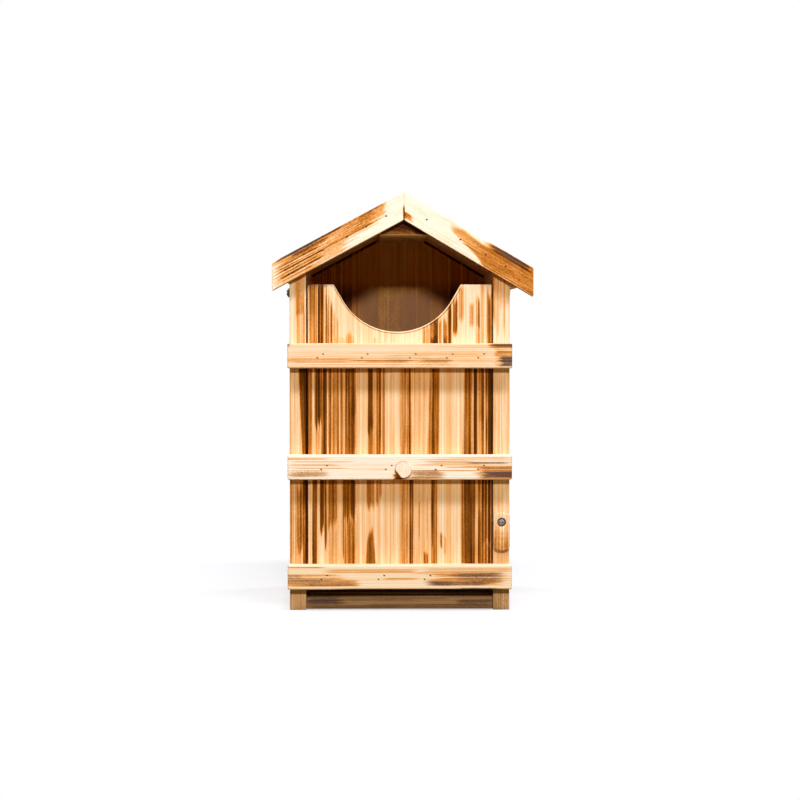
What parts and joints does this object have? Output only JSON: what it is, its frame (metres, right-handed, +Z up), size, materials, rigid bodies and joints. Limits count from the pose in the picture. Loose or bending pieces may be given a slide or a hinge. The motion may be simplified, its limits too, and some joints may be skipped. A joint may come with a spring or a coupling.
{
  "type": "owl nest box",
  "caption": "Tall gabled wooden nest box for owls, with a scooped entry in a ledged door that swings up on pivot screws and a wooden turn button that locks it.",
  "frame": {"origin": "middle of the part's bounding box, at the level of the surface that it stands on", "axes": "+Z up, -Y out of the front with its door, +X to the right as one faces the front"},
  "size_m": [0.314, 0.2734, 0.5055],
  "materials": {
    "pale_pine": "bare, torch scorched along the grain",
    "scorched_pine": "bare, browned by scorching",
    "dark_pine": "bare, darkened",
    "dull_steel": "dull"
  },
  "bodies": {
    "box": {"left_side_wall": "pale_pine", "right_side_wall": "pale_pine", "back_wall": "dark_pine", "floor_board": "dark_pine", "left_roof_panel": "pale_pine", "right_roof_panel": "pale_pine", "ridge_beam": "dark_pine", "left_bargeboard": "scorched_pine", "right_bargeboard": "pale_pine", "left_bargeboard_nails": "dull_steel", "right_bargeboard_nails": "dull_steel", "left_pivot_screw": "dull_steel", "right_pivot_screw": "dull_steel", "button_screw": "dull_steel"},
    "door": {"door_panel": "pale_pine", "top_batten": "pale_pine", "middle_batten": "pale_pine", "bottom_batten": "pale_pine", "top_batten_nails": "dull_steel", "middle_batten_nails": "dull_steel", "bottom_batten_nails": "dull_steel", "door_knob": "pale_pine"},
    "button": {"turn_button": "scorched_pine"}
  },
  "joints": [
    {"name": "door_lift", "type": "hinge", "parent": "box", "child": "door", "pos_m": [-0.00355, -0.1062, 0.384], "axis": [-1, 0, 0], "range_deg": [0, 120]},
    {"name": "button_turn", "type": "hinge", "parent": "box", "child": "button", "pos_m": [0.11945, -0.1191, 0.107], "axis": [0, 1, 0], "continuous": true}
  ]
}
